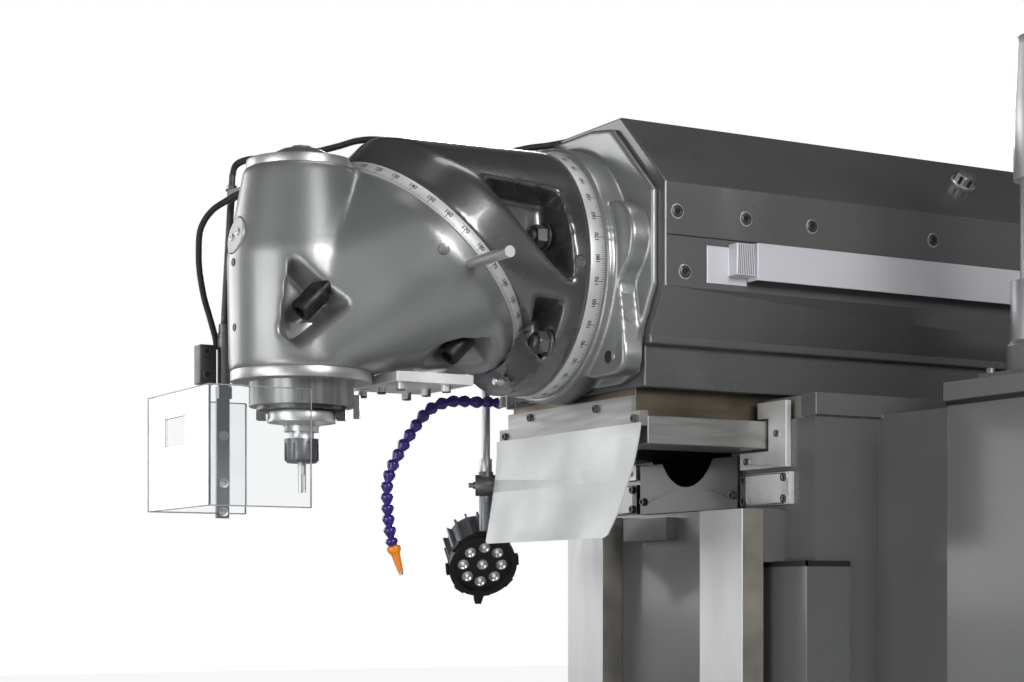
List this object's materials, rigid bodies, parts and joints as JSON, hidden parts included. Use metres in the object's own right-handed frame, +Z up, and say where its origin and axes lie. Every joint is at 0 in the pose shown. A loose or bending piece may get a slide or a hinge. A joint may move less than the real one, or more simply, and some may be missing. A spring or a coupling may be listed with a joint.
{
  "type": "universal milling machine",
  "caption": "Knee type milling machine with a sliding ram, a double swivel head with degree rings, a clear guard, a work lamp, a coolant hose and a pendant on a cabinet.",
  "frame": {"origin": "on the floor straight under the spindle axis at rest, on the base casting's underside", "axes": "+X to the machine's right along the table, +Y from the operator to the column, +Z up"},
  "size_m": [1.738, 2.184, 2.013],
  "materials": {
    "casting_paint": "glossy grey machine enamel over cast iron",
    "column_paint": "glossy grey enamel, slightly textured",
    "cabinet_paint": "grey sheet metal enamel",
    "ground_steel": "ground way surface",
    "bright_steel": "turned and ground steel",
    "dark_steel": "blackened steel",
    "scale_alloy": "fine turned, engraved degree scale",
    "cover_alloy": "milled plate",
    "sheet_white": "white painted chip sheet",
    "hose_blue": "moulded hose links",
    "nozzle_orange": "moulded nozzle",
    "black_plastic": "black corrugated conduit",
    "lamp_alloy": "die cast finned body",
    "lamp_black": "black bezel with lenses",
    "guard_clear": "clear polycarbonate sheet",
    "pendant_alloy": "anodised tube and box",
    "button_green": "green cap",
    "button_red": "red cap",
    "cutter_steel": "ground high speed steel"
  },
  "bodies": {
    "stand": {"base": "casting_paint", "column": "column_paint", "knee_ways": "ground_steel", "ram_keepers": "ground_steel", "way_wipers": "cover_alloy", "column_plates": "column_paint", "ram_screw": "ground_steel", "cabinet": "cabinet_paint", "coolant_pump": "dark_steel", "pendant_post": "cabinet_paint"},
    "door": {"cabinet_door": "cabinet_paint"},
    "arm": {"pendant_arm": "pendant_alloy"},
    "panel": {"pendant_box": "pendant_alloy"},
    "start": {"start_button": "button_green"},
    "stop": {"stop_button": "button_red"},
    "ram_group": {"ram": "casting_paint", "ram_rail": "ground_steel", "ram_adapter": "casting_paint", "ram_scale_ring": "scale_alloy", "rule_cover": "cover_alloy", "ram_fasteners": "dark_steel", "chip_guard_bar": "cover_alloy", "chip_guard_sheet": "sheet_white", "coolant_hose": "hose_blue", "hose_nozzle": "nozzle_orange", "lamp_tube": "bright_steel", "spindle_motor": "dark_steel", "conduit_rear": "black_plastic"},
    "drive": {"drive_shaft": "bright_steel"},
    "lamp_joint": {"lamp_elbow": "dark_steel"},
    "lamp": {"lamp_body": "lamp_alloy", "lamp_face": "lamp_black"},
    "knuckle_group": {"knuckle": "casting_paint", "swivel_scale_ring": "scale_alloy", "knuckle_nuts": "dark_steel", "conduit_middle": "black_plastic"},
    "swivel": {"swivel_shaft": "bright_steel"},
    "head": {"spindle_housing": "casting_paint", "head_rings": "bright_steel", "head_cap": "casting_paint", "head_bolts": "dark_steel", "bottom_plate": "cover_alloy", "guard_mount": "dark_steel", "conduit_front": "black_plastic", "spindle_bearings": "bright_steel"},
    "pin": {"index_pin": "bright_steel"},
    "jack": {"jack_shaft": "bright_steel"},
    "guard": {"guard_panel": "guard_clear", "guard_bar": "dark_steel"},
    "spindle_group": {"spindle": "dark_steel", "tool_holder": "bright_steel", "end_mill": "cutter_steel"},
    "knee_group": {"knee": "casting_paint"},
    "lift_screw": {"elevating_screw": "bright_steel"},
    "saddle_group": {"saddle": "casting_paint"},
    "turn_group": {"turntable": "casting_paint"},
    "table_group": {"table": "ground_steel"},
    "table_wheel": {"table_screw": "bright_steel"},
    "cross_wheel": {"cross_screw": "bright_steel"},
    "crank": {"knee_crank": "bright_steel"}
  },
  "joints": [
    {"name": "ram_slide", "type": "slide", "parent": "stand", "child": "ram_group", "axis": [0, 1, 0], "range_m": [-0.25, 0.1]},
    {"name": "head_swing", "type": "hinge", "parent": "ram_group", "child": "knuckle_group", "pos_m": [0, 0.371, 1.73], "axis": [0, 1, 0], "range_deg": [-45, 45]},
    {"name": "head_turn", "type": "hinge", "parent": "knuckle_group", "child": "head", "pos_m": [0, 0.19, 1.73], "axis": [0, 0.7071, 0.7071], "range_deg": [-45, 45]},
    {"name": "spindle_spin", "type": "hinge", "parent": "head", "child": "spindle_group", "pos_m": [0, 0, 1.73], "axis": [0, 0, 1], "continuous": true},
    {"name": "jack_spin", "type": "hinge", "parent": "head", "child": "jack", "pos_m": [0, 0.095, 1.73], "axis": [0, 0, 1], "continuous": true},
    {"name": "swivel_spin", "type": "hinge", "parent": "knuckle_group", "child": "swivel", "pos_m": [0, 0.19, 1.73], "axis": [0, 0.7071, 0.7071], "continuous": true},
    {"name": "drive_spin", "type": "hinge", "parent": "ram_group", "child": "drive", "pos_m": [0, 0.19, 1.73], "axis": [0, 1, 0], "continuous": true},
    {"name": "index_pull", "type": "slide", "parent": "head", "child": "pin", "axis": [1, 0, 0], "range_m": [0, 0.012], "stiffness_N_per_m": 3000},
    {"name": "guard_swing", "type": "hinge", "parent": "head", "child": "guard", "pos_m": [-0.132, -0.067, 1.5], "axis": [0, 0, 1], "range_deg": [-100, 0]},
    {"name": "lamp_swivel", "type": "hinge", "parent": "ram_group", "child": "lamp_joint", "pos_m": [-0.232, 0.428, 1.425], "axis": [0, 0, 1], "range_deg": [-60, 15]},
    {"name": "lamp_tilt", "type": "hinge", "parent": "lamp_joint", "child": "lamp", "pos_m": [-0.232, 0.428, 1.425], "axis": [0.4939, 0.8695, 0], "range_deg": [0, 50]},
    {"name": "knee_lift", "type": "slide", "parent": "stand", "child": "knee_group", "axis": [0, 0, 1], "range_m": [-0.13, 0.27]},
    {"name": "elevating_screw_spin", "type": "hinge", "parent": "knee_group", "child": "lift_screw", "pos_m": [0, 0.06, 0.5], "axis": [0, 0, 1], "continuous": true},
    {"name": "knee_crank_spin", "type": "hinge", "parent": "knee_group", "child": "crank", "pos_m": [0.118, -0.2, 0.543], "axis": [0, 1, 0], "continuous": true},
    {"name": "saddle_slide", "type": "slide", "parent": "knee_group", "child": "saddle_group", "axis": [0, 1, 0], "range_m": [-0.2, 0.02]},
    {"name": "cross_wheel_spin", "type": "hinge", "parent": "knee_group", "child": "cross_wheel", "pos_m": [0, -0.2, 0.625], "axis": [0, 1, 0], "continuous": true},
    {"name": "table_swivel", "type": "hinge", "parent": "saddle_group", "child": "turn_group", "pos_m": [0, 0, 0.79], "axis": [0, 0, 1], "range_deg": [-45, 45]},
    {"name": "table_slide", "type": "slide", "parent": "turn_group", "child": "table_group", "axis": [1, 0, 0], "range_m": [-0.25, 0.25]},
    {"name": "table_wheel_spin", "type": "hinge", "parent": "table_group", "child": "table_wheel", "pos_m": [0, 0, 0.886], "axis": [1, 0, 0], "continuous": true},
    {"name": "door_hinge", "type": "hinge", "parent": "stand", "child": "door", "pos_m": [0.843, 1.2313, 0.8], "axis": [0, 0, 1], "range_deg": [0, 110]},
    {"name": "pendant_swing", "type": "hinge", "parent": "stand", "child": "arm", "pos_m": [0.6, 0.845, 1.6], "axis": [0, 0, 1], "range_deg": [-100, 60]},
    {"name": "pendant_turn", "type": "hinge", "parent": "arm", "child": "panel", "pos_m": [0.93, 0.845, 1.7], "axis": [0, 0, 1], "range_deg": [-80, 80]},
    {"name": "start_press", "type": "slide", "parent": "panel", "child": "start", "axis": [0, 1, 0], "range_m": [0, 0.004], "stiffness_N_per_m": 600},
    {"name": "stop_press", "type": "slide", "parent": "panel", "child": "stop", "axis": [0, 1, 0], "range_m": [0, 0.005], "stiffness_N_per_m": 900}
  ],
  "couplings": [
    {"joint": "jack_spin", "follows": "spindle_spin", "ratio": -1.2727},
    {"joint": "swivel_spin", "follows": "spindle_spin", "ratio": 1.2727},
    {"joint": "drive_spin", "follows": "spindle_spin", "ratio": 1.2727}
  ]
}
